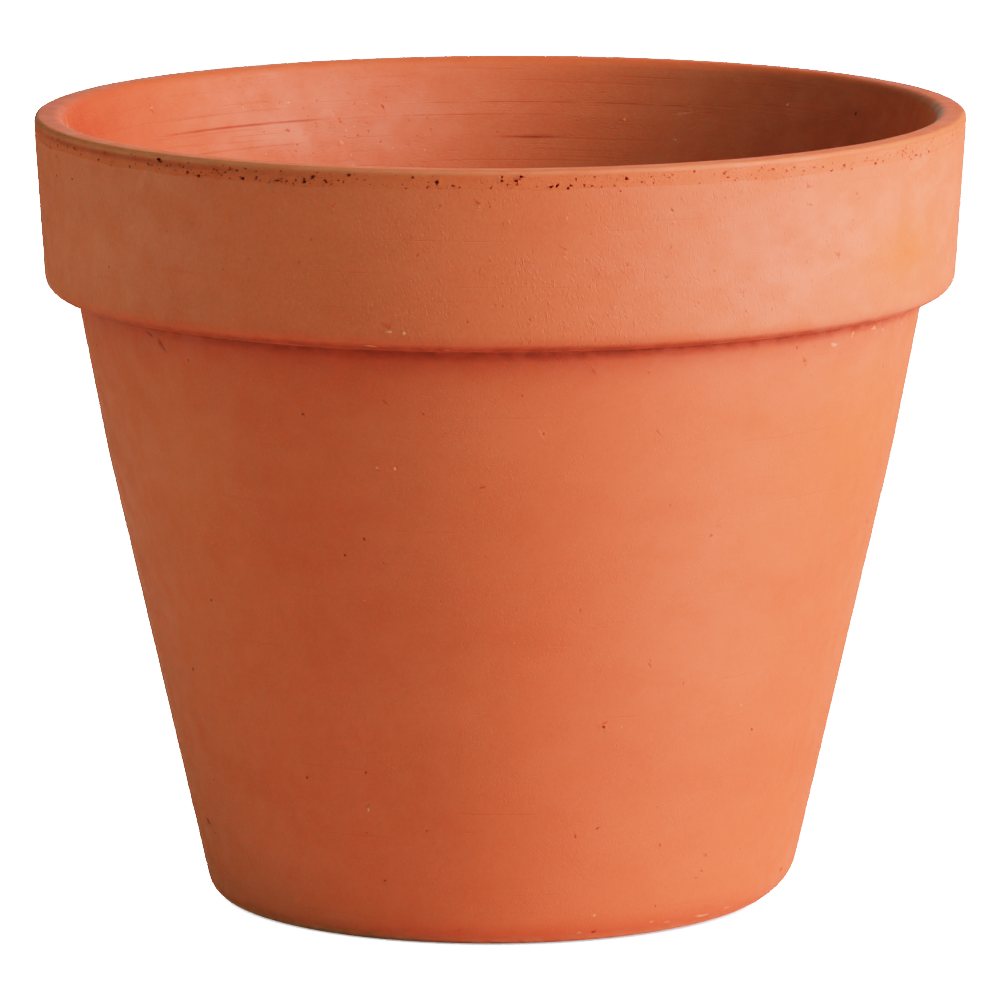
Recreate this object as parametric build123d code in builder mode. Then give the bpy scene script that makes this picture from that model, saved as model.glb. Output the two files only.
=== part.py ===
from build123d import *
import os
from math import radians, tan

# A classic terracotta nursery pot: one thrown and fired clay wall with a thick rolled collar,
# a tapered body, a flat foot with a shallow recess, and one drain hole through the floor.
#
# Frame: millimetres, +Z up. The origin is the centre of the foot, on the surface the pot stands
# on, and +Z is the pot's axis of revolution.

os.makedirs("parts", exist_ok=True)

# Overall sizes
rim_diameter = 205.0  # the widest place, at the lip
height = 175.0  # from the foot to the flat of the lip
base_diameter = 128.4  # where the wall's line meets the ground, before its rounded edge

# Lip and collar
lip_width = 6.1  # from the mouth to the outside of the lip, roundings included
lip_band_height = 4.0  # the upright band that the trimming tool leaves under the lip
collar_height = 38.8  # from the lip to the collar's lower edge
collar_taper = 2.2  # how far the collar draws in from the band to its lower edge
collar_overhang = 6.8  # how far the collar's lower edge stands out from the wall below it
collar_undercut = 1.0  # how far the collar's underside falls from that edge to the wall

# Body
neck_height = 35.0  # the steeper stretch of wall right below the collar
neck_draft = 10.7  # its slope from upright, in degrees
wall = 7.5  # thickness of the side, measured level
floor_thickness = 10.0  # from the ground to the inside of the floor

# Foot and drain
foot_width = 14.0  # from the wall's line at the ground to the recess
recess_depth = 1.5  # how far the middle of the underside stands clear of the ground
drain_diameter = 22.0

# Roundings: soft clay has no sharp corner
lip_outer_rounding = 1.1
lip_inner_rounding = 2.6
band_rounding = 4.0
collar_edge_rounding = 4.2
crease_rounding = 1.2
neck_rounding = 150.0
foot_edge_rounding = 7.8
recess_rounding = 0.8
inner_neck_rounding = 150.0
inner_floor_rounding = 11.0
drain_edge_rounding = 1.2

# Radii and levels that follow from those sizes
lip_radius = rim_diameter / 2
collar_edge_radius = lip_radius - collar_taper
crease_radius = collar_edge_radius - collar_overhang
crease_level = height - collar_height - collar_undercut
neck_radius = crease_radius - neck_height * tan(radians(neck_draft))
neck_level = crease_level - neck_height
base_radius = base_diameter / 2
recess_radius = base_radius - foot_width
body_slope = (neck_radius - base_radius) / neck_level
floor_radius = base_radius + floor_thickness * body_slope - wall
drain_radius = drain_diameter / 2


def corner(radius: float, level: float, rounding: float) -> tuple[tuple[float, float], float]:
    """A corner of the half section: its place, and the radius that it is rounded to."""
    return (radius, level), rounding


# Half section, from the axis on the underside, up the outside and down the inside
corners = [
    corner(recess_radius - recess_depth, recess_depth, recess_rounding),
    corner(recess_radius, 0, recess_rounding),
    corner(base_radius, 0, foot_edge_rounding),
    corner(neck_radius, neck_level, neck_rounding),
    corner(crease_radius, crease_level, crease_rounding),
    corner(collar_edge_radius, height - collar_height, collar_edge_rounding),
    corner(lip_radius, height - lip_band_height, band_rounding),
    corner(lip_radius, height, lip_outer_rounding),
    corner(lip_radius - lip_width, height, lip_inner_rounding),
    corner(crease_radius - wall, crease_level, inner_neck_rounding),
    corner(floor_radius, floor_thickness, inner_floor_rounding),
]
places, roundings = zip(*corners)

# Pot: the half section turned about the axis, then pierced by the drain hole
with BuildPart() as pot:
    with BuildSketch(Plane.XZ):
        with BuildLine():
            side = FilletPolyline(
                (0, recess_depth), *places, (0, floor_thickness), radius=roundings
            )
            Line(side @ 1, side @ 0)
        make_face()
    revolve(axis=Axis.Z)
    Hole(drain_radius)
    drain_edges = pot.edges().filter_by(
        lambda edge: edge.geom_type == GeomType.CIRCLE and abs(edge.radius - drain_radius) < 1e-6
    )
    fillet(drain_edges, drain_edge_rounding)

pot.part.label = "pot"
export_step(pot.part, "parts/pot.step")

if __name__ == "__main__":
    box = pot.part.bounding_box()
    print(f"pot: {box.size.X:.1f} x {box.size.Y:.1f} x {box.size.Z:.1f} mm")
    print(f"clay: {pot.part.volume / 1000:.1f} cm3")
    print(f"mouth {2 * (lip_radius - lip_width):.1f} mm, crease level {crease_level:.1f} mm")
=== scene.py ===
"""Terracotta nursery pot: its fired clay skin and a plain studio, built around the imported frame.

Everything is in the frame's own space: metres, +Z up, the pot standing on the ground at the origin.
The camera looks along +Y, so azimuths are counted from the side that faces it, towards +X.
"""

import logging
import math
import random
from dataclasses import dataclass, field
from enum import Enum

import bmesh
import bpy
import numpy as np
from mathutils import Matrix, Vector
from mathutils.bvhtree import BVHTree
from mathutils.kdtree import KDTree


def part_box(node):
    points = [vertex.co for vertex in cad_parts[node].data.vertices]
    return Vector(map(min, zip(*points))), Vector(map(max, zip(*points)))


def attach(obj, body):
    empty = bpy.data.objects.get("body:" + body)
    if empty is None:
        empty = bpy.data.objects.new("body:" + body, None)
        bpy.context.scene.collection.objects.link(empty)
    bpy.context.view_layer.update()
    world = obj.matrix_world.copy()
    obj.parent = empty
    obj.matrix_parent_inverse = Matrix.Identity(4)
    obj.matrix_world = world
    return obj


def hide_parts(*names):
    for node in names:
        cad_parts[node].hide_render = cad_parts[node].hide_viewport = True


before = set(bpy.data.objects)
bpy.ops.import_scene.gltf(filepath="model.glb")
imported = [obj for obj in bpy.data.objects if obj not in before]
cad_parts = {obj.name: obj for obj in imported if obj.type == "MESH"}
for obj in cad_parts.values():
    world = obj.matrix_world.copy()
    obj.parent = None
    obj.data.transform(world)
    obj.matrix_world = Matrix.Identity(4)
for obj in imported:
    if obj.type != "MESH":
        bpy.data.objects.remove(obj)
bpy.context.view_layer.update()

MM = 0.001
TAU = 2 * math.pi
Colour = tuple[float, float, float]
Socket = bpy.types.NodeSocket
Value = Socket | float
Spots = list[tuple[Vector, Vector]]
SEED = 7
AIM_LIFT = 0.3 * MM
log = logging.getLogger("pot")


class Zone(Enum):
    """The stretches of skin that the potter leaves with different finishes, as material slots."""

    BODY = 0
    COLLAR = 1
    BAND = 2
    LIP = 3
    INSIDE = 4
    FOOT = 5


class Stain(Enum):
    """What is laid on the clay point by point, painted light and shade among it, as the name of its mesh
    attribute.
    """

    # pale bloom, partly painted sheen where the key lights fall
    BLOOM = "bloom"
    WARM = "warm"
    # painted shade on the inner wall, and a painted shadow line under the lip's outer edge
    DEEP = "deep"
    # rubbed pale edges and dust; also a painted highlight on the lip's outer edge and painted floor
    # bounce on the foot's rounding
    WORN = "worn"
    # painted shade in the crease under the collar and on the collar's lower edge
    GRIME = "grime"
    SCORE = "score"
    PIT = "pit"
    CRUMB = "crumb"


class MarkKind(Enum):
    """A small mark in the clay: which way it stands, and the stain that it leaves."""

    PIT = (-1.0, Stain.PIT)
    NICK = (-1.0, Stain.WORN)
    CRUMB = (1.0, Stain.CRUMB)


# ------------------------------------------------------------------ node trees


class Wiring:
    """Short ways to add and join the nodes of one tree."""

    def __init__(self, tree: bpy.types.NodeTree) -> None:
        """Keep the tree that the nodes go into."""
        self.tree = tree

    def add(self, kind: str, inputs: dict | None = None, **settings: object) -> bpy.types.Node:
        """Add a node.

        Args:
            kind: the node's type, without the ShaderNode prefix.
            inputs: values or output sockets, by the name or number of the input they go to.
            settings: properties of the node itself.

        Returns:
            The new node.
        """
        name = kind if kind.startswith("Node") else "ShaderNode" + kind
        node = self.tree.nodes.new(name)
        for key, value in settings.items():
            setattr(node, key, value)
        for key, value in (inputs or {}).items():
            socket = node.inputs[key]
            if isinstance(value, Socket):
                self.tree.links.new(value, socket)
            elif isinstance(value, tuple) and len(value) == 3 and socket.type == "RGBA":
                socket.default_value = (*value, 1.0)
            else:
                socket.default_value = value
        return node

    def math(self, operation: str, *values: Value) -> Socket:
        """One arithmetic step.

        Args:
            operation: the Math node's operation.
            values: numbers or sockets, in order.

        Returns:
            The result's socket.
        """
        return self.add("Math", dict(enumerate(values)), operation=operation).outputs[0]

    def times(self, one: Value, other: Value) -> Socket:
        """The product of two values."""
        return self.math("MULTIPLY", one, other)

    def laid(self, stain: Stain) -> Socket:
        """How much of a stain lies on the clay."""
        return self.add("Attribute", attribute_name=stain.value).outputs["Fac"]

    def ramp(
        self, value: Value, low: Value, high: Value, start: float = 0.0, end: float = 1.0
    ) -> Socket:
        """A smooth step.

        Args:
            value: the socket to read.
            low: the reading at which the result is start.
            high: the reading at which the result is end.
            start: the result at and below low.
            end: the result at and above high.

        Returns:
            The result's socket.
        """
        inputs = {0: value, 1: low, 2: high, 3: start, 4: end}
        return self.add("MapRange", inputs, interpolation_type="SMOOTHSTEP").outputs[0]

    def mix(self, share: Value, under: Socket | Colour, over: Socket | Colour) -> Socket:
        """Lay one colour over another.

        Args:
            share: how much of over shows.
            under: the colour below.
            over: the colour on top.

        Returns:
            The mixed colour's socket.
        """
        return self.add("Mix", {0: share, 6: under, 7: over}, data_type="RGBA").outputs[2]

    def place(self, stretch: tuple[float, float, float] = (1, 1, 1)) -> Socket:
        """Where a point lies on the pot, in millimetres.

        Args:
            stretch: how many times longer a pattern comes out along X, Y and Z.

        Returns:
            The coordinate's socket.
        """
        where = self.add("TexCoord").outputs["Object"]
        scale = tuple(1 / (MM * share) for share in stretch)
        inputs = {0: where, 1: scale}
        return self.add("VectorMath", inputs, operation="MULTIPLY").outputs[0]

    def noise(self, where: Socket, size: Value, detail: float = 2, roughness: float = 0.5) -> Socket:
        """Soft clouds between 0 and 1.

        Args:
            where: the coordinate, in millimetres.
            size: the size of one cloud, in millimetres.
            detail: how many finer layers lie in it.
            roughness: how strong those layers are.

        Returns:
            The clouds' socket.
        """
        inputs = {
            "Vector": where,
            "Scale": self.math("DIVIDE", 1.0, size),
            "Detail": detail,
            "Roughness": roughness,
        }
        return self.add("TexNoise", inputs).outputs[0]


class Effect:
    """A surface effect that several finishes share, as one node group with named sockets."""

    name = "effect"
    takes: dict[str, object] = {}
    gives: dict[str, str] = {}

    def __init__(self) -> None:
        """Build the group once."""
        self.group = bpy.data.node_groups.new(self.name, "ShaderNodeTree")
        for label, default in self.takes.items():
            kind = "NodeSocketColor" if isinstance(default, tuple) else "NodeSocketFloat"
            socket = self.group.interface.new_socket(label, in_out="INPUT", socket_type=kind)
            socket.default_value = (*default, 1.0) if isinstance(default, tuple) else default
        for label, kind in self.gives.items():
            self.group.interface.new_socket(label, in_out="OUTPUT", socket_type="NodeSocket" + kind)
        wiring = Wiring(self.group)
        given = wiring.add("NodeGroupInput").outputs
        results = self.wire(wiring, given)
        wiring.add("NodeGroupOutput", results)

    def wire(self, w: Wiring, given: bpy.types.NodeOutputs) -> dict[str, Socket]:
        """Add the group's nodes.

        Args:
            w: the group's wiring.
            given: the group's inputs.

        Returns:
            The socket that feeds each output.
        """
        raise NotImplementedError

    def into(self, w: Wiring, **values: object) -> bpy.types.NodeOutputs:
        """Place the group in a material.

        Args:
            w: the material's wiring.
            values: the group's inputs, with underscores for spaces.

        Returns:
            The placed group's outputs.
        """
        node = w.tree.nodes.new("ShaderNodeGroup")
        node.node_tree = self.group
        for label, value in values.items():
            socket = node.inputs[label.replace("_", " ")]
            if isinstance(value, Socket):
                w.tree.links.new(value, socket)
            else:
                socket.default_value = (*value, 1.0) if isinstance(value, tuple) else value
        return node.outputs


class ClayTone(Effect):
    """The clay's own colour: soft patches from uneven firing, and a fine mottle of its grains."""

    name = "clay tone"
    takes = {
        "Body": (0.5, 0.2, 0.1),
        "Deep": (0.4, 0.1, 0.05),
        "Pale": (0.6, 0.3, 0.2),
        "Patch Size": 30.0,
        "Patchiness": 0.5,
        "Mottle": 0.3,
    }
    gives = {"Colour": "Color"}

    def wire(self, w: Wiring, given: bpy.types.NodeOutputs) -> dict[str, Socket]:
        """Mix deep and pale patches into the body colour, then the mottle."""
        patches = w.noise(w.place((1.5, 1.5, 0.8)), given["Patch Size"], 2, 0.6)
        deep = w.times(w.ramp(patches, 0.5, 0.28), given["Patchiness"])
        pale = w.times(w.ramp(patches, 0.5, 0.75), given["Patchiness"])
        colour = w.mix(deep, given["Body"], given["Deep"])
        colour = w.mix(pale, colour, given["Pale"])
        grains = w.noise(w.place(), 0.8, 2, 0.7)
        dark = w.times(w.ramp(grains, 0.5, 0.3), given["Mottle"])
        light = w.times(w.ramp(grains, 0.5, 0.7), given["Mottle"])
        colour = w.mix(dark, colour, given["Deep"])
        return {"Colour": w.mix(light, colour, given["Pale"])}


class Pores(Effect):
    """Open pores of uneven size, where air or a plucked grain left a hole."""

    name = "pores"
    takes = {"Spacing": 3.0, "Share": 0.3, "Size": 0.3}
    gives = {"Mask": "Float"}

    def wire(self, w: Wiring, given: bpy.types.NodeOutputs) -> dict[str, Socket]:
        """Keep a pore in some cells only, and make its outline ragged."""
        where = w.place()
        scale = w.math("DIVIDE", 1.0, given["Spacing"])
        cells = w.add("TexVoronoi", {"Vector": where, "Scale": scale}).outputs
        lot = w.add("SeparateColor", {0: cells["Color"]}).outputs
        kept = w.math("LESS_THAN", lot[0], given["Share"])
        reach = w.math("DIVIDE", given["Size"], given["Spacing"])
        reach = w.times(reach, w.ramp(lot[1], 0, 1, 0.5, 1.5))
        ragged = w.ramp(w.noise(where, 0.35, 1), 0.3, 0.7, 0.65, 1.5)
        far = w.times(cells["Distance"], ragged)
        return {"Mask": w.times(kept, w.ramp(far, reach, w.times(reach, 0.5)))}


class DragGrain(Effect):
    """Short ridges and scratches, drawn out by the sponge or the tool."""

    name = "drag grain"
    takes = {"Size": 0.4, "Length": 1.5, "Lean": 0.12, "Turns": 0.0}
    gives = {"Height": "Float"}

    def wire(self, w: Wiring, given: bpy.types.NodeOutputs) -> dict[str, Socket]:
        """Stretch noise along the drag, and let its peaks and hollows stand out."""
        split = w.add("SeparateXYZ", {0: w.place()}).outputs
        lean = w.times(split[2], given["Lean"])
        flat = w.math("DIVIDE", 1.0, w.math("ADD", 1.0, given["Turns"]))
        x = w.times(w.math("ADD", split[0], lean), flat)
        y = w.times(w.math("ADD", split[1], lean), flat)
        z = w.math("DIVIDE", split[2], given["Length"])
        bent = w.add("CombineXYZ", {0: x, 1: y, 2: z}).outputs[0]
        clouds = w.noise(bent, given["Size"], 2, 0.5)
        raised = w.math("ADD", w.times(clouds, 0.4), w.ramp(clouds, 0.6, 0.74, 0.0, 0.9))
        height = w.math("SUBTRACT", raised, w.ramp(clouds, 0.38, 0.26, 0.0, 1.0))
        where_rough = w.ramp(w.noise(w.place(), 13.0, 1), 0.35, 0.62, 0.3, 1.0)
        return {"Height": w.times(height, where_rough)}


class TurningLines(Effect):
    """Fine level scores that grit leaves as it is dragged round under the tool."""

    name = "turning lines"
    takes = {"Width": 0.4, "Run": 30.0, "Share": 0.3}
    gives = {"Mask": "Float"}

    def wire(self, w: Wiring, given: bpy.types.NodeOutputs) -> dict[str, Socket]:
        """Cut thin level streaks out of long flat noise."""
        split = w.add("SeparateXYZ", {0: w.place()}).outputs
        x = w.math("DIVIDE", split[0], given["Run"])
        y = w.math("DIVIDE", split[1], given["Run"])
        z = w.math("DIVIDE", split[2], given["Width"])
        bent = w.add("CombineXYZ", {0: x, 1: y, 2: z}).outputs[0]
        streaks = w.noise(bent, 1.6, 1, 0.4)
        edge = w.math("SUBTRACT", 0.76, w.times(given["Share"], 0.3))
        return {"Mask": w.ramp(streaks, edge, w.math("ADD", edge, 0.08))}


class ThinFilm(Effect):
    """A stain, or painted light or shade, that thins out in clouds instead of ending evenly."""

    name = "thin film"
    takes = {"Amount": 0.0, "Cloud Size": 6.0, "Break-up": 0.5}
    gives = {"Mask": "Float"}

    def wire(self, w: Wiring, given: bpy.types.NodeOutputs) -> dict[str, Socket]:
        """Weaken the amount where the clouds are thin."""
        clouds = w.noise(w.place((1.4, 1.4, 0.8)), given["Cloud Size"], 2, 0.6)
        loss = w.times(w.ramp(clouds, 0.62, 0.36), given["Break-up"])
        return {"Mask": w.times(given["Amount"], w.math("SUBTRACT", 1.0, loss))}


class Effects:
    """Every shared effect, each built once."""

    def __init__(self) -> None:
        """Build the node groups."""
        self.tone = ClayTone()
        self.pores = Pores()
        self.grain = DragGrain()
        self.lines = TurningLines()
        self.film = ThinFilm()


# ------------------------------------------------------------------ finishes


# pale bloom, partly painted sheen where the key lights fall
BLOOM_AND_SHEEN_COLOUR: Colour = (0.6, 0.215, 0.145)
WARM_COLOUR: Colour = (0.62, 0.135, 0.045)
# painted shade on the inner wall, and a painted shadow line under the lip's outer edge
PAINTED_SHADE_COLOUR: Colour = (0.33, 0.08, 0.042)
# painted shade in the crease under the collar and on the collar's lower edge
CREASE_SHADE_COLOUR: Colour = (0.15, 0.045, 0.02)
# dark of pits, pores and scores: dirt and painted shade in the recess
PIT_DIRT_AND_SHADE_COLOUR: Colour = (0.09, 0.025, 0.013)
# pale clay of crumbs, flecks and rubbed edges; also the painted highlight on the lip's edge and the
# painted floor bounce at the foot
CHALK_COLOUR: Colour = (0.68, 0.29, 0.165)


@dataclass(frozen=True)
class ClayFinish:
    """How one stretch of the fired clay looks and feels. Sizes are in millimetres."""

    name: str
    body: Colour = (0.54, 0.13, 0.061)
    deep: Colour = (0.46, 0.084, 0.034)
    pale: Colour = (0.64, 0.17, 0.09)
    patch_size: float = 34.0
    patchiness: float = 0.25
    mottle: float = 0.14
    pore_spacing: float = 4.2
    pore_share: float = 0.12
    pore_size: float = 0.3
    pore_depth: float = 0.2
    grain_size: float = 0.42
    grain_length: float = 1.6
    grain_turns: float = 0.0
    grain_depth: float = 0.05
    line_share: float = 0.2
    line_depth: float = 0.02
    line_tint: float = 0.12
    fleck_share: float = 0.03
    smoothest: float = 0.56
    roughest: float = 0.7
    specular: float = 0.5

    def colour(self, w: Wiring, effects: Effects, holes: Socket, lines: Socket) -> Socket:
        """Wire up the colour, from the clay outwards.

        Args:
            w: the material's wiring.
            effects: the shared node groups.
            holes: where the clay is open.
            lines: where it is scored.

        Returns:
            The colour's socket.
        """
        colour = effects.tone.into(
            w, Body=self.body, Deep=self.deep, Pale=self.pale,
            Patch_Size=self.patch_size, Patchiness=self.patchiness, Mottle=self.mottle,
        )["Colour"]
        # The stains include painted shade in the crease and on the inner wall, painted sheen among the
        # bloom, and a painted highlight and floor bounce among the rubbed edges.
        for stain, over, cloud, loss in (
            (Stain.DEEP, PAINTED_SHADE_COLOUR, 9.0, 0.25),
            (Stain.BLOOM, BLOOM_AND_SHEEN_COLOUR, 7.0, 0.45),
            (Stain.WARM, WARM_COLOUR, 11.0, 0.3),
            (Stain.WORN, CHALK_COLOUR, 3.0, 0.4),
            (Stain.GRIME, CREASE_SHADE_COLOUR, 3.0, 0.3),
        ):
            amount = w.laid(stain)
            film = effects.film.into(w, Amount=amount, Cloud_Size=cloud, **{"Break-up": loss})
            colour = w.mix(film["Mask"], colour, over)
        colour = w.mix(w.times(lines, self.line_tint), colour, self.deep)
        flecks = effects.pores.into(w, Spacing=2.9, Share=self.fleck_share, Size=0.22)["Mask"]
        crumbs = w.laid(Stain.CRUMB)
        bright = w.math("MAXIMUM", w.times(flecks, 0.4), crumbs)
        colour = w.mix(bright, colour, CHALK_COLOUR)
        # pits, pores and scores darken: dirt and painted shade in the recess
        return w.mix(holes, colour, PIT_DIRT_AND_SHADE_COLOUR)

    def material(self, effects: Effects) -> bpy.types.Material:
        """Build the finish.

        Args:
            effects: the shared node groups.

        Returns:
            The material, ready to go on a mesh.
        """
        material = bpy.data.materials.new(self.name)
        material.use_nodes = True
        material.node_tree.nodes.clear()
        w = Wiring(material.node_tree)
        pores = effects.pores.into(
            w, Spacing=self.pore_spacing, Share=self.pore_share, Size=self.pore_size
        )["Mask"]
        lines = effects.lines.into(w, Width=0.4, Run=26.0, Share=self.line_share)["Mask"]
        grain = effects.grain.into(
            w, Size=self.grain_size, Length=self.grain_length, Turns=self.grain_turns
        )["Height"]
        pitted = w.laid(Stain.PIT)
        scored = w.laid(Stain.SCORE)
        holes = w.math("MAXIMUM", w.times(pores, 0.7), pitted)
        holes = w.math("MAXIMUM", holes, w.times(scored, 0.6))

        relief = w.times(grain, self.grain_depth)
        relief = w.math("SUBTRACT", relief, w.times(pores, self.pore_depth))
        relief = w.math("SUBTRACT", relief, w.times(lines, self.line_depth))
        bump = w.add("Bump", {"Height": relief, "Distance": MM, "Strength": 1.0}).outputs[0]

        spread = w.noise(w.place(), 7.0, 2, 0.6)
        rough = w.ramp(spread, 0.3, 0.7, self.smoothest, self.roughest)
        rough = w.math("MAXIMUM", rough, w.times(holes, 0.9))
        shader = w.add(
            "BsdfPrincipled",
            {
                "Base Color": self.colour(w, effects, holes, lines),
                "Roughness": rough,
                "Normal": bump,
                "Specular IOR Level": self.specular,
                "Diffuse Roughness": 0.4,
            },
        )
        w.add("OutputMaterial", {0: shader.outputs[0]})
        return material


FINISHES: dict[Zone, ClayFinish] = {
    Zone.BODY: ClayFinish("turned_clay_body", mottle=0.1, grain_length=1.0, grain_depth=0.038),
    Zone.COLLAR: ClayFinish("sponged_clay_collar", grain_size=0.55, grain_length=2.0, grain_depth=0.068),
    Zone.BAND: ClayFinish(
        "torn_clay_band", pore_spacing=1.1, pore_share=0.4, pore_size=0.24, grain_size=0.6,
        grain_length=0.7, grain_depth=0.14, smoothest=0.7, roughest=0.85, specular=0.4,
    ),
    Zone.LIP: ClayFinish(
        "wiped_clay_lip", body=(0.5, 0.12, 0.056), grain_depth=0.03, grain_turns=6.0,
        grain_length=1.0, pore_share=0.03,
    ),
    Zone.INSIDE: ClayFinish(
        "ribbed_clay_inside", body=(0.5, 0.13, 0.063), deep=(0.46, 0.105, 0.045),
        pale=(0.62, 0.2, 0.115), grain_length=0.8, grain_turns=2.0, grain_depth=0.055,
        line_share=0.42, line_tint=0.25, line_depth=0.03, smoothest=0.62, roughest=0.76,
    ),
    Zone.FOOT: ClayFinish("dusty_clay_foot", smoothest=0.8, roughest=0.95, pore_share=0.2),
}


# ------------------------------------------------------------------ the clay wall


@dataclass(frozen=True)
class Corner:
    """One corner of the half section, in millimetres, and the stretch that follows it."""

    radius: float
    level: float
    rounding: float
    arc_points: int
    arc_zone: Zone
    zone: Zone
    step: float
    # how pale the corner is rubbed; on the lip's outer edge this is also a painted highlight
    worn: float = 0.0

    @property
    def place(self) -> np.ndarray:
        """The corner as a point of the section."""
        return np.array((self.radius, self.level))


@dataclass(frozen=True)
class Patch:
    """A soft patch of a stain: its azimuth and spread in degrees, the rest in millimetres."""

    stain: Stain
    azimuth: float
    level: float
    spread: float
    rise: float
    strength: float
    inside: bool = False


@dataclass(frozen=True)
class Groove:
    """A level score inside the wall, between two azimuths in degrees. Sizes in millimetres."""

    level: float
    start: float
    end: float
    width: float
    depth: float
    flutter: float


@dataclass(frozen=True)
class Mark:
    """A small pit or lump in the clay: azimuth and turn in degrees, the rest in millimetres."""

    kind: MarkKind
    azimuth: float
    level: float
    width: float
    length: float
    height: float
    turn: float = 0.0
    tint: float = 1.0
    inside: bool = False


@dataclass
class Outline:
    """The closed half section as a row of points, each with the zone of the stretch after it."""

    places: np.ndarray
    zones: list[Zone]

    def normals(self) -> np.ndarray:
        """The way out of the clay at each point."""
        along = np.roll(self.places, -1, axis=0) - np.roll(self.places, 1, axis=0)
        along = along / np.linalg.norm(along, axis=1)[:, None]
        return np.stack([along[:, 1], -along[:, 0]], axis=1)


def unit(vector: np.ndarray) -> np.ndarray:
    """The vector's direction, one long."""
    return vector / np.linalg.norm(vector)


def smooth_step(value: np.ndarray) -> np.ndarray:
    """A smooth rise from 0 to 1 as the value goes from 0 to 1."""
    share = np.clip(value, 0, 1)
    return share * share * (3 - 2 * share)


def wave(turn: np.ndarray, counts: tuple[int, ...], phase: float) -> np.ndarray:
    """A closed wandering line round the pot, as a sum of a few sines.

    Args:
        turn: the angle of each spoke.
        counts: how many times each sine goes round.
        phase: where they start.

    Returns:
        The line's height, within about 1.
    """
    sines = [np.sin(count * turn + phase * (place + 1.7)) for place, count in enumerate(counts)]
    return sum(sines) / math.sqrt(len(counts))


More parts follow.
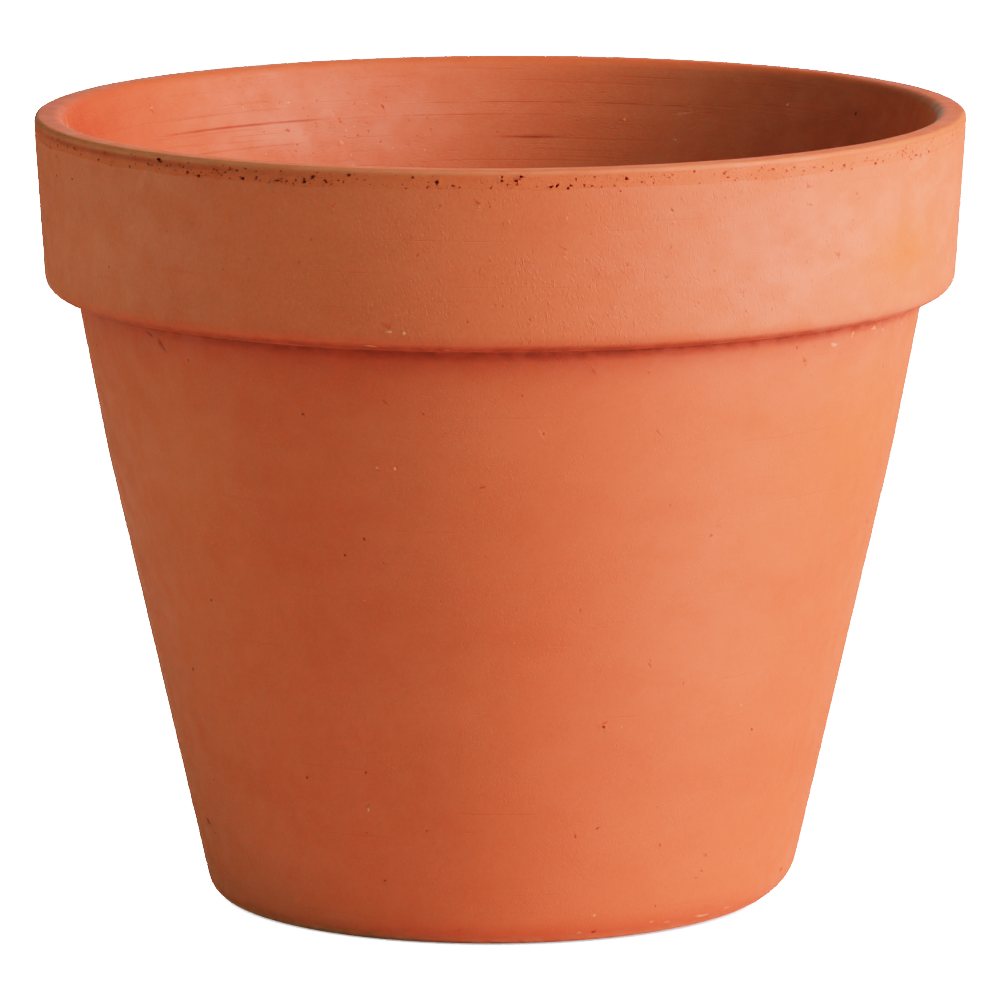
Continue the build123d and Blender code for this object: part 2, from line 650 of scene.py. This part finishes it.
@dataclass
class ClayWall:
    """The pot's one fired piece. Sizes are in millimetres; lip and height come from the frame."""

    lip_radius: float
    height: float
    lip_width: float = 6.1
    band_height: float = 4.0
    collar_height: float = 38.8
    collar_taper: float = 2.2
    collar_overhang: float = 6.8
    collar_undercut: float = 1.0
    neck_height: float = 35.0
    neck_draft: float = 10.7
    base_radius: float = 64.2
    wall: float = 7.5
    floor: float = 10.0
    foot_width: float = 14.0
    recess: float = 1.5
    drain_radius: float = 11.0
    foot_rounding: float = 8.2
    foot_unevenness: float = 3.2
    lip_tilt: float = 0.4
    # height of the pale dust on the foot's rounding, which is also painted floor bounce light
    foot_dust_and_bounce: float = 3.0
    spokes: int = 220
    patches: list[Patch] = field(default_factory=list)
    grooves: list[Groove] = field(default_factory=list)
    marks: list[Mark] = field(default_factory=list)

    @property
    def crease_level(self) -> float:
        """The level of the crease under the collar."""
        return self.height - self.collar_height - self.collar_undercut

    @property
    def band_level(self) -> float:
        """The level of the band's lower edge."""
        return self.height - self.band_height

    def corners(self, foot_rounding: float) -> list[Corner]:
        """The half section, from the drain hole's lower edge round the outside and back.

        Args:
            foot_rounding: the radius of the foot's outer edge.

        Returns:
            The corners in order, closed.
        """
        edge = self.lip_radius - self.collar_taper
        crease = edge - self.collar_overhang
        under = self.height - self.collar_height
        neck = crease - self.neck_height * math.tan(math.radians(self.neck_draft))
        neck_level = self.crease_level - self.neck_height
        slope = (neck - self.base_radius) / neck_level
        inner_floor = self.base_radius + self.floor * slope - self.wall
        ring = self.base_radius - self.foot_width
        body, collar, band, lip, inside, foot = Zone
        return [
            Corner(self.drain_radius, self.recess, 1.2, 4, foot, foot, 5.0),
            Corner(ring - self.recess, self.recess, 0.8, 3, foot, foot, 1.0),
            Corner(ring, 0.0, 0.8, 3, foot, foot, 2.4, 0.3),
            Corner(self.base_radius, 0.0, foot_rounding, 11, body, body, 2.6),
            Corner(neck, neck_level, 150.0, 4, body, body, 2.2),
            Corner(crease, self.crease_level, 0.6, 4, body, collar, 1.1),
            Corner(edge, under, 4.2, 9, collar, collar, 1.6),
            Corner(self.lip_radius, self.band_level, 3.0, 2, band, band, 0.5),
            Corner(self.lip_radius, self.height, 1.1, 6, lip, lip, 1.3, 0.35),
            Corner(self.lip_radius - self.lip_width, self.height, 2.6, 7, lip, inside, 2.4),
            Corner(crease - self.wall, self.crease_level, 150.0, 4, inside, inside, 3.0),
            Corner(inner_floor, self.floor, 11.0, 9, inside, inside, 1.7),
            Corner(self.drain_radius, self.floor, 1.2, 4, foot, foot, 2.2, 0.3),
        ]

    def outline(self, foot_rounding: float) -> Outline:
        """Round the corners and divide the stretches between them.

        Args:
            foot_rounding: the radius of the foot's outer edge.

        Returns:
            The closed outline.
        """
        corners = self.corners(foot_rounding)
        arcs = []
        for number, corner in enumerate(corners):
            here, after = corner.place, corners[(number + 1) % len(corners)].place
            back, ahead = unit(corners[number - 1].place - here), unit(after - here)
            half = math.acos(float(np.clip(back @ ahead, -1, 1))) / 2
            reach = corner.rounding / math.tan(half)
            centre = here + unit(back + ahead) * corner.rounding / math.sin(half)
            start, end = here + back * reach - centre, here + ahead * reach - centre
            sweep = math.pi - 2 * half
            shares = np.linspace(0, 1, corner.arc_points)[:, None]
            swung = np.sin(sweep * (1 - shares)) * start + np.sin(sweep * shares) * end
            arcs.append(centre + swung / math.sin(sweep))
        row: list[np.ndarray] = []
        zones: list[Zone] = []
        for number, corner in enumerate(corners):
            after = corners[(number + 1) % len(corners)]
            start, end = arcs[number][-1], arcs[(number + 1) % len(arcs)][0]
            count = max(1, round(math.dist(corner.place, after.place) / corner.step))
            shares = self.shares(start, end, count, corner.zone)
            row += [*arcs[number], *(start + (end - start) * share for share in shares)]
            zones += [corner.arc_zone] * (corner.arc_points - 1) + [corner.zone] * (1 + len(shares))
        return Outline(np.array(row), zones)

    def shares(self, start: np.ndarray, end: np.ndarray, count: int, zone: Zone) -> list[float]:
        """Where a stretch is divided: evenly, and closely across each groove.

        Args:
            start: where the stretch starts.
            end: where it ends.
            count: how many even parts it has.
            zone: its zone.

        Returns:
            The divisions, as shares of its length.
        """
        found = [part / count for part in range(1, count)]
        if zone is not Zone.INSIDE or abs(end[1] - start[1]) < self.wall:
            return found
        close = []
        for groove in self.grooves:
            for offset in (-1.1, -0.6, -0.3, 0.0, 0.3, 0.6, 1.1):
                share = (groove.level + offset * groove.width - start[1]) / (end[1] - start[1])
                if 0.01 < share < 0.99:
                    close.append(share)
        gap = 0.3 / count
        return sorted(close + [even for even in found if all(abs(even - share) > gap for share in close)])

    def skin(self) -> tuple[np.ndarray, list[Zone], dict[Stain, np.ndarray]]:
        """Turn the outline about the axis, with the small errors of a hand-fed machine.

        Returns:
            A grid of points, rings by spokes, in millimetres, each ring's zone, and the stains.
        """
        tight = self.outline(self.foot_rounding - self.foot_unevenness)
        loose = self.outline(self.foot_rounding + self.foot_unevenness)
        turn = np.linspace(0, TAU, self.spokes, endpoint=False)
        share = (1 + np.cos(turn))[None, :, None] / 2
        section = tight.places[:, None] * (1 - share) + loose.places[:, None] * share
        drift = self.drift(turn, section[..., 1], tight.zones)
        groove, score = self.scoring(turn, section[..., 1], tight.zones)
        section = section + (drift - groove)[..., None] * tight.normals()[:, None]
        radius, level = section[..., 0], section[..., 1]
        stains = self.stain(turn, radius, level, tight)
        stains[Stain.SCORE] = score
        rise = np.clip(level / self.height, 0, 1)
        outside = radius > self.lip_radius - self.lip_width / 2
        near_edge = outside * np.exp(-(((level - self.band_level) / 1.3) ** 2))
        level = level + near_edge * 0.22 * wave(turn, (5, 13, 23, 37), 1.9)
        at_lip = smooth_step((level - self.height + 2.6) / 2.6)
        radius = radius + at_lip * 0.05 * wave(turn, (19, 31, 47, 58), 0.8)
        radius = radius + rise**2 * (0.16 * np.cos(2 * turn + 0.7) + 0.07 * np.cos(3 * turn - 1.1))
        level = level + rise**3 * self.lip_tilt * np.cos(turn)
        grid = np.stack([radius * np.cos(turn), radius * np.sin(turn), level], axis=-1)
        return grid, tight.zones, stains

    def drift(self, turn: np.ndarray, level: np.ndarray, zones: list[Zone]) -> np.ndarray:
        """How far the tool wandered, as soft rings that climb like a screw.

        Args:
            turn: each spoke's angle.
            level: each point's level.
            zones: each ring's zone.

        Returns:
            How far each point stands out from the true outline.
        """
        depth = {Zone.BODY: 0.03, Zone.COLLAR: 0.025, Zone.INSIDE: 0.035}
        strength = np.array([depth.get(zone, 0.0) for zone in zones])[:, None]
        rings = np.sin(TAU * level / 5.3 - turn) + 0.6 * np.sin(TAU * level / 3.7 + turn + 1.3)
        rings = rings + 0.9 * np.sin(TAU * level / 13.0 - turn + 0.4)
        swell = 0.6 + 0.4 * np.sin(TAU * level / 61.0 + 2 * turn)
        return strength * rings * swell

    def scoring(
        self, turn: np.ndarray, level: np.ndarray, zones: list[Zone]
    ) -> tuple[np.ndarray, np.ndarray]:
        """How deep the grooves are, and how dark they show, as dirt and painted shade in them.

        Args:
            turn: each spoke's angle.
            level: each point's level.
            zones: each ring's zone.

        Returns:
            The depth and the darkness at each point.
        """
        inside = np.array([zone is Zone.INSIDE for zone in zones])[:, None]
        azimuth = np.degrees(turn + math.pi / 2) % 360
        depth, dark = np.zeros_like(level), np.zeros_like(level)
        for groove in self.grooves:
            ends = smooth_step((azimuth - groove.start) / 8) * smooth_step((groove.end - azimuth) / 8)
            broken = smooth_step(0.75 + 0.9 * wave(turn, (23, 41, 67), groove.level))
            strength = ends * (1 - groove.flutter + groove.flutter * broken) * inside
            across = np.exp(-(((level - groove.level) / (groove.width * 0.55)) ** 2))
            depth = depth + groove.depth * across * strength
            dark = np.maximum(dark, across * strength * min(1.0, groove.depth / 0.16))
        return depth, dark

    def stain(
        self, turn: np.ndarray, radius: np.ndarray, level: np.ndarray, row: Outline
    ) -> dict[Stain, np.ndarray]:
        """Lay on the patches, the rubbed edges and dusty foot that also carry a painted highlight and
        floor bounce, and the painted shade in the crease.

        Args:
            turn: each spoke's angle.
            radius: each point's distance from the axis.
            level: each point's level.
            row: the outline that the points come from.

        Returns:
            How much of each stain every point has.
        """
        stains = {stain: np.zeros_like(level) for stain in Stain}

        def lay(stain: Stain, amount: np.ndarray) -> None:
            """Add a stain where it is stronger than what lies there."""
            stains[stain] = np.maximum(stains[stain], amount)

        azimuth = np.degrees(turn + math.pi / 2)
        inside = np.array([zone in (Zone.INSIDE, Zone.LIP) for zone in row.zones])[:, None]
        for patch in self.patches:
            away = (azimuth - patch.azimuth + 180) % 360 - 180
            soft = np.exp(-((away / patch.spread) ** 2) - ((level - patch.level) / patch.rise) ** 2)
            here = inside if patch.inside else ~inside
            lay(patch.stain, soft * here * patch.strength)
        for corner in self.corners(self.foot_rounding):
            far = np.hypot(radius - corner.radius, level - corner.level)
            soft = np.exp(-((far / 0.65) ** 2))
            # Rubbed edges at the foot ring and drain; at the lip's outer edge the pale line is also a
            # painted highlight.
            lay(Stain.WORN, corner.worn * soft)
            # Painted shade: the crease and the collar's rounded lower edge are darkened, most towards
            # azimuth 40°, the side the key lights come from.
            if corner.arc_zone is Zone.BODY and corner.zone is Zone.COLLAR:
                facing = 0.5 + 0.5 * np.cos(turn + math.pi / 2 - 0.7)
                tight = 0.95 * np.exp(-((far / 2.0) ** 2))
                wide = 0.25 * np.exp(-((far / 5.0) ** 2))
                stains[Stain.GRIME] = np.maximum(tight, wide) * facing
                edge = np.array([zone is Zone.COLLAR for zone in row.zones])[:, None]
                under = smooth_step(self.height - self.collar_height + 1.4 - level)
                lay(Stain.GRIME, 0.75 * under * edge * facing)
        # Pale dust on the foot's rounding, which also stands in for painted floor bounce light.
        at_foot = smooth_step((self.foot_dust_and_bounce - level) / self.foot_dust_and_bounce) * ~inside
        lay(Stain.WORN, at_foot)
        return stains

    def build(self, name: str, finishes: list[bpy.types.Material]) -> bpy.types.Object:
        """Make the wall's mesh, work the marks into it, and dress it.

        Args:
            name: the piece's name.
            finishes: the materials, in the order of the zones.

        Returns:
            The finished piece.
        """
        grid, zones, stains = self.skin()
        rings, spokes = grid.shape[:2]
        numbers = np.arange(rings * spokes).reshape(rings, spokes)
        nexts = np.roll(numbers, -1, axis=0)
        corners = [numbers, np.roll(numbers, -1, axis=1), np.roll(nexts, -1, axis=1), nexts]
        faces = np.stack(corners, axis=-1).reshape(-1, 4)
        mesh = bpy.data.meshes.new(name)
        mesh.from_pydata((grid.reshape(-1, 3) * MM).tolist(), [], faces.tolist())
        for finish in finishes:
            mesh.materials.append(finish)
        slots = np.repeat([zone.value for zone in zones], spokes)
        mesh.polygons.foreach_set("material_index", slots.astype(np.int32))
        for stain, values in stains.items():
            layer = mesh.attributes.new(stain.value, "FLOAT", "POINT")
            layer.data.foreach_set("value", values.reshape(-1).astype(np.float32))
        mesh.update()
        MarkTool(self.marks, spokes).work(mesh)
        mesh.polygons.foreach_set("use_smooth", [True] * len(mesh.polygons))
        piece = bpy.data.objects.new(name, mesh)
        bpy.context.scene.collection.objects.link(piece)
        return piece


@dataclass
class MarkTool:
    """Works small marks into a turned mesh, after dividing the faces round each of them."""

    marks: list[Mark]
    spokes: int
    passes: int = 5
    finest: float = 0.21
    rim: float = 0.22

    def work(self, mesh: bpy.types.Mesh) -> None:
        """Divide the mesh near the marks, push their points in or out, and stain them.

        Args:
            mesh: the turned mesh, changed in place.
        """
        shell = bmesh.new()
        shell.from_mesh(mesh)
        spots = self.spots(shell)
        for _ in range(self.passes):
            self.divide(shell, spots)
        self.press(shell, spots)
        shell.to_mesh(mesh)
        shell.free()

    def spots(self, shell: bmesh.types.BMesh) -> Spots:
        """Where each mark lies on the mesh, and the skin's normal there.

        Args:
            shell: the mesh before it is divided.

        Returns:
            A place and a normal for each mark.
        """
        found = []
        tree = BVHTree.FromBMesh(shell)
        for mark in self.marks:
            angle = math.radians(mark.azimuth) - math.pi / 2
            outward = Vector((math.cos(angle), math.sin(angle), 0))
            level = Vector((0, 0, mark.level * MM))
            start, way = (level, outward) if mark.inside else (outward + level, -outward)
            place, normal, _, _ = tree.ray_cast(start, way)
            found.append((place, normal))
        return found

    def divide(self, shell: bmesh.types.BMesh, spots: Spots) -> None:
        """Halve every edge near a mark that is still too long to show it.

        Args:
            shell: the mesh, changed in place.
            spots: where the marks are.
        """
        tree = KDTree(len(shell.edges))
        shell.edges.ensure_lookup_table()
        for number, edge in enumerate(shell.edges):
            tree.insert((edge.verts[0].co + edge.verts[1].co) / 2, number)
        tree.balance()
        chosen: set[int] = set()
        for mark, (place, _) in zip(self.marks, spots):
            reach = max(mark.width, mark.length) * MM / 2
            finest = max(self.finest, min(mark.width, mark.length) / 4) * MM
            for _, number, away in tree.find_range(place, reach + 1.6 * MM):
                length = shell.edges[number].calc_length()
                if length > finest * 1.5 and away < reach + 0.6 * length:
                    chosen.add(number)
        before = len(shell.verts)
        edges = [shell.edges[number] for number in chosen]
        bmesh.ops.subdivide_edges(shell, edges=edges, cuts=1, use_grid_fill=True)
        shell.verts.ensure_lookup_table()
        for vert in shell.verts[before:]:
            self.round_out(vert)

    def round_out(self, vert: bmesh.types.BMVert) -> None:
        """Move a new point off the flat between two spokes and back on the round."""
        step = TAU / self.spokes
        angle = math.atan2(vert.co.y, vert.co.x)
        middle = (math.floor(angle / step) + 0.5) * step
        swell = math.cos(angle - middle) / math.cos(step / 2)
        vert.co.x *= swell
        vert.co.y *= swell

    def press(self, shell: bmesh.types.BMesh, spots: Spots) -> None:
        """Push the points of each mark along the skin's normal, and stain them.

        Args:
            shell: the divided mesh, changed in place.
            spots: where the marks are.
        """
        shell.verts.ensure_lookup_table()
        tree = KDTree(len(shell.verts))
        for number, vert in enumerate(shell.verts):
            tree.insert(vert.co, number)
        tree.balance()
        layers = {kind: shell.verts.layers.float[kind.value[1].value] for kind in MarkKind}
        for mark, (place, normal) in zip(self.marks, spots):
            sign, _ = mark.kind.value
            up = (Vector((0, 0, 1)) - normal * normal.z).normalized()
            across = up.cross(normal)
            turn = math.radians(mark.turn)
            long = up * math.cos(turn) + across * math.sin(turn)
            wide = across * math.cos(turn) - up * math.sin(turn)
            reach = max(mark.width, mark.length) * MM * 0.9
            for co, number, _ in tree.find_range(place, reach):
                away = co - place
                x, y = away.dot(wide) / (mark.width * MM / 2), away.dot(long) / (mark.length * MM / 2)
                angle = math.atan2(y, x)
                ragged = 1 + 0.2 * math.sin(3 * angle + mark.azimuth)
                ragged += 0.15 * math.sin(5 * angle - mark.level)
                far = math.hypot(x, y) / ragged
                vert, layer = shell.verts[number], layers[mark.kind]
                share = max(0.0, 1 - far * far) ** 1.5
                rim = 0.0
                if mark.kind is MarkKind.PIT:
                    rim = self.rim * math.exp(-(((far - 1.15) / 0.22) ** 2))
                vert.co += normal * (mark.height * MM * (sign * share + rim))
                vert[layer] = max(vert[layer], min(1.0, share * 2.2) * mark.tint)


# ------------------------------------------------------------------ what the potter left, with painted sheen and shade


PIT, NICK, CRUMB = MarkKind

PATCHES = [
    # Pale bloom; the patches at 55 and 100 on the collar's lit right, and the one inside at 207 on the
    # lit inner wall, are also painted sheen.
    Patch(Stain.BLOOM, 55, 152, 34, 26, 0.7),
    Patch(Stain.BLOOM, 100, 150, 30, 24, 0.4),
    Patch(Stain.BLOOM, 205, 150, 40, 26, 0.5),
    Patch(Stain.BLOOM, 34, 75, 18, 45, 0.2),
    Patch(Stain.BLOOM, 250, 70, 40, 30, 0.2),
    Patch(Stain.BLOOM, 207, 162, 24, 11, 0.85, inside=True),
    Patch(Stain.WARM, 60, 150, 9, 8, 0.75),
    Patch(Stain.WARM, 62, 108, 12, 16, 0.4),
    Patch(Stain.WARM, -48, 90, 14, 40, 0.2),
    # Painted shadow line under the lip's outer edge on the shaded left, and painted shade on the inner
    # wall at 124 and 262.
    Patch(Stain.DEEP, -60, 173.1, 30, 0.55, 0.9),
    Patch(Stain.DEEP, 124, 166, 30, 30, 0.7, inside=True),
    Patch(Stain.DEEP, 262, 166, 24, 16, 0.85, inside=True),
]

GROOVES = [
    Groove(162.3, 203, 237, 0.45, 0.16, 0.3),
    Groove(162.2, 170, 206, 0.35, 0.06, 0.9),
    Groove(157.2, 207, 233, 0.35, 0.06, 0.4),
    Groove(157.1, 168, 182, 0.55, 0.2, 0.35),
    Groove(165.1, 146, 194, 0.35, 0.07, 0.95),
    Groove(165.4, 208, 234, 0.3, 0.05, 0.6),
]

HAND_MARKS = [
    Mark(PIT, -51.6, 131.2, 1.3, 4.4, 0.3, -42, 0.35),
    Mark(PIT, -54, 133.2, 0.8, 3.0, 0.2, -65, 0.5),
    Mark(CRUMB, 50.5, 131.6, 2.4, 0.9, 0.4, 10, 0.9),
    Mark(CRUMB, 54.5, 133.2, 0.9, 1.8, 0.35, 30, 0.8),
    Mark(CRUMB, 60, 133.4, 2.2, 0.8, 0.35, 0, 0.9),
    Mark(CRUMB, 63, 132.4, 1.0, 0.7, 0.25, 0, 0.7),
    Mark(CRUMB, 70, 132.2, 2.0, 0.6, 0.2, 0, 0.5),
    Mark(CRUMB, -13.4, 140.2, 1.4, 0.5, 0.15, 0, 0.8),
    Mark(CRUMB, -11.6, 140.0, 0.8, 0.7, 0.15, 0, 0.9),
    Mark(CRUMB, -16.0, 136.9, 3.4, 0.4, 0.1, 4, 0.7),
    Mark(CRUMB, -6.5, 136.4, 2.0, 0.4, 0.08, 4, 0.5),
    Mark(CRUMB, -17.2, 109.0, 0.9, 0.7, 0.1, 0, 0.6),
    Mark(CRUMB, -14.6, 109.0, 0.6, 0.9, 0.1, 0, 0.8),
    Mark(PIT, -2.5, 105.3, 0.5, 1.8, 0.15, 70, 0.4),
    Mark(PIT, 17, 50.5, 1.1, 0.7, 0.25, 0, 0.7),
    Mark(PIT, 24, 64.0, 0.7, 1.6, 0.16, -30, 0.3),
    Mark(PIT, 30, 22.0, 0.6, 1.1, 0.2, 0, 0.45),
    Mark(PIT, 40.5, 14.5, 0.8, 0.6, 0.2, 0, 0.4),
    Mark(PIT, 41, 18.0, 0.7, 0.6, 0.16, 0, 0.3),
    Mark(PIT, 69.5, 9.0, 1.6, 0.8, 0.3, 0, 0.8),
    Mark(PIT, -69, 20.0, 2.6, 1.1, 0.35, 30, 0.6),
    Mark(CRUMB, -23.5, 31.0, 0.5, 1.2, 0.1, 0, 0.8),
    Mark(CRUMB, 18, 7.1, 0.8, 0.7, 0.15, 0, 0.7),
    Mark(NICK, 31, 4.1, 1.6, 0.6, 0.12, 0, 0.8),
    Mark(NICK, 35, 3.5, 2.0, 0.7, 0.14, 0, 0.9),
    Mark(NICK, 44, 3.5, 5.0, 0.9, 0.14, 4, 0.9),
    Mark(NICK, 51, 4.1, 3.0, 0.7, 0.1, 6, 0.7),
    Mark(PIT, 18.5, 2.9, 1.0, 0.8, 0.3, 0, 0.8),
    Mark(NICK, 15.8, 3.0, 1.4, 0.8, 0.12, 0, 0.9),
    Mark(NICK, 267, 171.6, 1.0, 4.5, 0.08, 12, 1.0, inside=True),
    Mark(CRUMB, 211, 166.4, 0.9, 0.7, 0.18, 0, 0.9, inside=True),
    Mark(CRUMB, 236, 168.8, 0.9, 0.7, 0.15, 0, 0.5, inside=True),
    Mark(CRUMB, 203.5, 156.8, 0.8, 1.0, 0.15, 0, 0.7, inside=True),
    Mark(CRUMB, 162, 161.6, 0.8, 0.6, 0.15, 0, 0.7, inside=True),
    Mark(CRUMB, 136, 167.6, 0.8, 0.7, 0.15, 0, 0.9, inside=True),
    Mark(NICK, 153, 163.8, 0.5, 7.0, 0.05, 80, 0.25, inside=True),
]


def band_pits(wall: ClayWall, draw: random.Random) -> list[Mark]:
    """The torn pits in the band under the lip, in loose clumps.

    Args:
        wall: the wall they are in.
        draw: what places them.

    Returns:
        The pits.
    """
    marks = []
    azimuth = -180.0
    while azimuth < 180:
        row = draw.choice((0.4, 0.5, 0.7, 0.86, 0.9))
        clump = (1, 2, 3, 5, 7) if abs(azimuth) < 80 else (1, 1, 2, 3)
        for _ in range(draw.choice(clump)):
            width = draw.choice((0.35, 0.4, 0.5, 0.6, 0.9)) * draw.uniform(0.85, 1.2)
            level = wall.height - row * wall.band_height - draw.gauss(0, 0.3)
            place = azimuth + draw.gauss(0, 1.3)
            depth = width * draw.uniform(0.35, 0.6)
            tint = draw.uniform(0.45, 1.0)
            length = width * draw.uniform(0.45, 0.9)
            lean = draw.gauss(0, 20)
            marks.append(Mark(PIT, place, level, width, length, depth, lean, tint))
        azimuth += draw.uniform(1.4, 4.5)
    return marks


def stray_marks(wall: ClayWall, draw: random.Random) -> list[Mark]:
    """Small bumps and scratches on the collar, and a few pits and specks on the body.

    Args:
        wall: the wall they are on.
        draw: what places them.

    Returns:
        The marks.
    """
    marks = []
    for _ in range(110):
        level = draw.uniform(wall.crease_level + 6, wall.band_level - 2)
        width, length = draw.uniform(0.3, 0.5), draw.uniform(0.5, 1.3)
        place = draw.gauss(25, 24) if draw.random() < 0.45 else draw.uniform(-180, 180)
        turn = draw.gauss(14, 14)
        if draw.random() < 0.6:
            marks.append(Mark(PIT, place, level, width, length, 0.1, turn, 0.3))
        else:
            marks.append(Mark(CRUMB, place, level, width, length, 0.09, turn, 0.15))
    for _ in range(46):
        level = wall.crease_level * (1 - draw.random() ** 1.3) - 2
        size = draw.uniform(0.4, 0.7)
        place = draw.uniform(-180, 180)
        marks.append(Mark(PIT, place, max(level, 4), size, size, 0.12, 0, 0.35))
    for _ in range(46):
        size, level = draw.uniform(0.4, 0.6), draw.gauss(wall.height - 14, 5)
        kind, tint = draw.choice(((PIT, 0.35), (CRUMB, 0.6)))
        place, level = draw.gauss(203, 9), min(level, wall.height - 5)
        marks.append(Mark(kind, place, level, size, size, 0.12, 0, tint, inside=True))
    for _ in range(20):
        size, level = draw.uniform(0.35, 0.6), draw.uniform(20, wall.height - 8)
        place = draw.uniform(90, 270)
        marks.append(Mark(CRUMB, place, level, size, size, 0.1, 0, 0.7, inside=True))
    return marks


# ------------------------------------------------------------------ studio


@dataclass(frozen=True)
class Panel:
    """A soft light panel that faces the pot. Angles in degrees, sizes in metres."""

    name: str
    azimuth: float
    elevation: float
    power: float
    colour: Colour
    width: float = 0.7
    height: float = 0.8
    distance: float = 1.2

    def hang(self, target: Vector) -> bpy.types.Object:
        """Hang the panel.

        Args:
            target: the point it faces.

        Returns:
            The light.
        """
        light = bpy.data.lights.new(self.name, "AREA")
        light.shape = "RECTANGLE"
        light.size = self.width
        light.size_y = self.height
        light.energy = self.power
        light.color = self.colour
        lamp = bpy.data.objects.new(self.name, light)
        place_facing(lamp, self.azimuth, self.elevation, self.distance, target)
        bpy.context.scene.collection.objects.link(lamp)
        return lamp


def place_facing(
    thing: bpy.types.Object, azimuth: float, elevation: float, distance: float, target: Vector
) -> None:
    """Put a lamp or camera round the pot, facing it.

    Args:
        thing: what to place.
        azimuth: how far round from the camera's side, towards +X, in degrees.
        elevation: how far up, in degrees.
        distance: how far from the target.
        target: the point it faces.
    """
    turn, rise = math.radians(azimuth), math.radians(elevation)
    away = Vector((math.sin(turn) * math.cos(rise), -math.cos(turn) * math.cos(rise), math.sin(rise)))
    thing.location = target + away * distance
    thing.rotation_euler = (-away).to_track_quat("-Z", "Y").to_euler()


@dataclass
class Studio:
    """A plain white sweep, soft light and the camera."""

    target: Vector
    camera_distance: float = 2.05
    camera_elevation: float = 9.6
    lens: float = 332.6
    sensor: float = 36.0
    floor_size: float = 12.0
    white: float = 30.0
    floor_grey: float = 0.65
    contact_reach: float = 1.2 * MM
    shade_radius: float = 53 * MM
    shade_edge: float = 2 * MM
    panels: tuple[Panel, ...] = (
        Panel("window key", 58, 19, 12.5, (0.66, 0.92, 1.0)),
        Panel("side key", 82, 18, 39.0, (1.0, 0.145, 0.1)),
        Panel("high key", 70, 45, 5.2, (0.85, 0.84, 0.78)),
        Panel("left fill", -90, 3, 5.6, (0.85, 0.92, 0.8)),
        Panel("high fill", -60, 45, 2.8, (0.6, 1.0, 0.85)),
        Panel("front fill", 0, 45, 2.8, (0.2, 1.0, 0.95)),
        Panel("back fill", 180, 10, 2.2, (0.45, 0.9, 0.95)),
    )

    def build(self) -> None:
        """Lay the floor, hang the panels and place the camera."""
        self.lay_floor()
        for panel in self.panels:
            panel.hang(self.target)
        self.place_camera()
        self.fill_room()

    def lay_floor(self) -> None:
        """A wide white floor, overexposed but for a painted contact shadow and painted shade on the
        ground under the pot.
        """
        half = self.floor_size / 2
        corners = [(-half, -half, 0), (half, -half, 0), (half, half, 0), (-half, half, 0)]
        mesh = bpy.data.meshes.new("floor")
        mesh.from_pydata(corners, [], [(0, 1, 2, 3)])
        floor = bpy.data.objects.new("floor", mesh)
        bpy.context.scene.collection.objects.link(floor)
        material = bpy.data.materials.new("floor_paper")
        material.use_nodes = True
        shader = material.node_tree.nodes["Principled BSDF"]
        shader.inputs["Base Color"].default_value = (*[self.floor_grey] * 3, 1)
        shader.inputs["Roughness"].default_value = 0.9
        w = Wiring(material.node_tree)
        # painted contact shadow: the glow dims where the pot is close
        closeness = w.add("AmbientOcclusion", {"Distance": self.contact_reach}, samples=8).outputs["AO"]
        glow = w.ramp(closeness, 0.2, 0.75, 0.4, self.white)
        # painted shade on the ground under the pot, seen through the drain hole
        spot = w.add("NewGeometry").outputs["Position"]
        radius = w.add("VectorMath", {0: spot}, operation="LENGTH").outputs["Value"]
        uncovered = w.ramp(radius, self.shade_radius, self.shade_radius + self.shade_edge)
        glow = w.times(glow, uncovered)
        seen = w.add("LightPath").outputs["Is Camera Ray"]
        w.tree.links.new(w.times(glow, seen), shader.inputs["Emission Strength"])
        shader.inputs["Emission Color"].default_value = (1, 1, 1, 1)
        mesh.materials.append(material)

    def place_camera(self) -> None:
        """A long lens, a little above the rim."""
        data = bpy.data.cameras.new("camera")
        data.lens = self.lens
        data.sensor_width = self.sensor
        data.clip_end = 100
        camera = bpy.data.objects.new("camera", data)
        place_facing(camera, 0, self.camera_elevation, self.camera_distance, self.target)
        bpy.context.scene.collection.objects.link(camera)
        bpy.context.scene.camera = camera

    def fill_room(self) -> None:
        """A room that is white to the camera and gives almost no light, and the film's tones."""
        world = bpy.data.worlds.new("room")
        world.use_nodes = True
        w = Wiring(world.node_tree)
        seen = w.add("LightPath").outputs["Is Camera Ray"]
        back = world.node_tree.nodes["Background"]
        back.inputs[0].default_value = (0.6, 1, 1, 1)
        w.tree.links.new(w.ramp(seen, 0, 1, 0.04, self.white), back.inputs[1])
        scene = bpy.context.scene
        scene.world = world
        scene.view_settings.view_transform = "Filmic"
        scene.view_settings.look = "Very High Contrast"


def main() -> None:
    """Build the pot and the studio in order."""
    logging.basicConfig(level=logging.INFO, format="%(message)s")
    low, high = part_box("pot")
    wall = ClayWall(lip_radius=(high.x - low.x) / 2 / MM, height=high.z / MM)
    wall.patches += PATCHES
    wall.grooves += GROOVES
    draw = random.Random(SEED)
    wall.marks += HAND_MARKS + band_pits(wall, draw) + stray_marks(wall, draw)
    effects = Effects()
    pot = wall.build("clay_pot", [FINISHES[zone].material(effects) for zone in Zone])
    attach(pot, "root")
    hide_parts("pot")
    corners = sum(len(face.vertices) - 2 for face in pot.data.polygons)
    log.info("%s: %d faces, %d triangles", pot.name, len(pot.data.polygons), corners)
    Studio(Vector((0, 0, high.z / 2 + AIM_LIFT))).build()


if __name__ == "__main__":
    main()
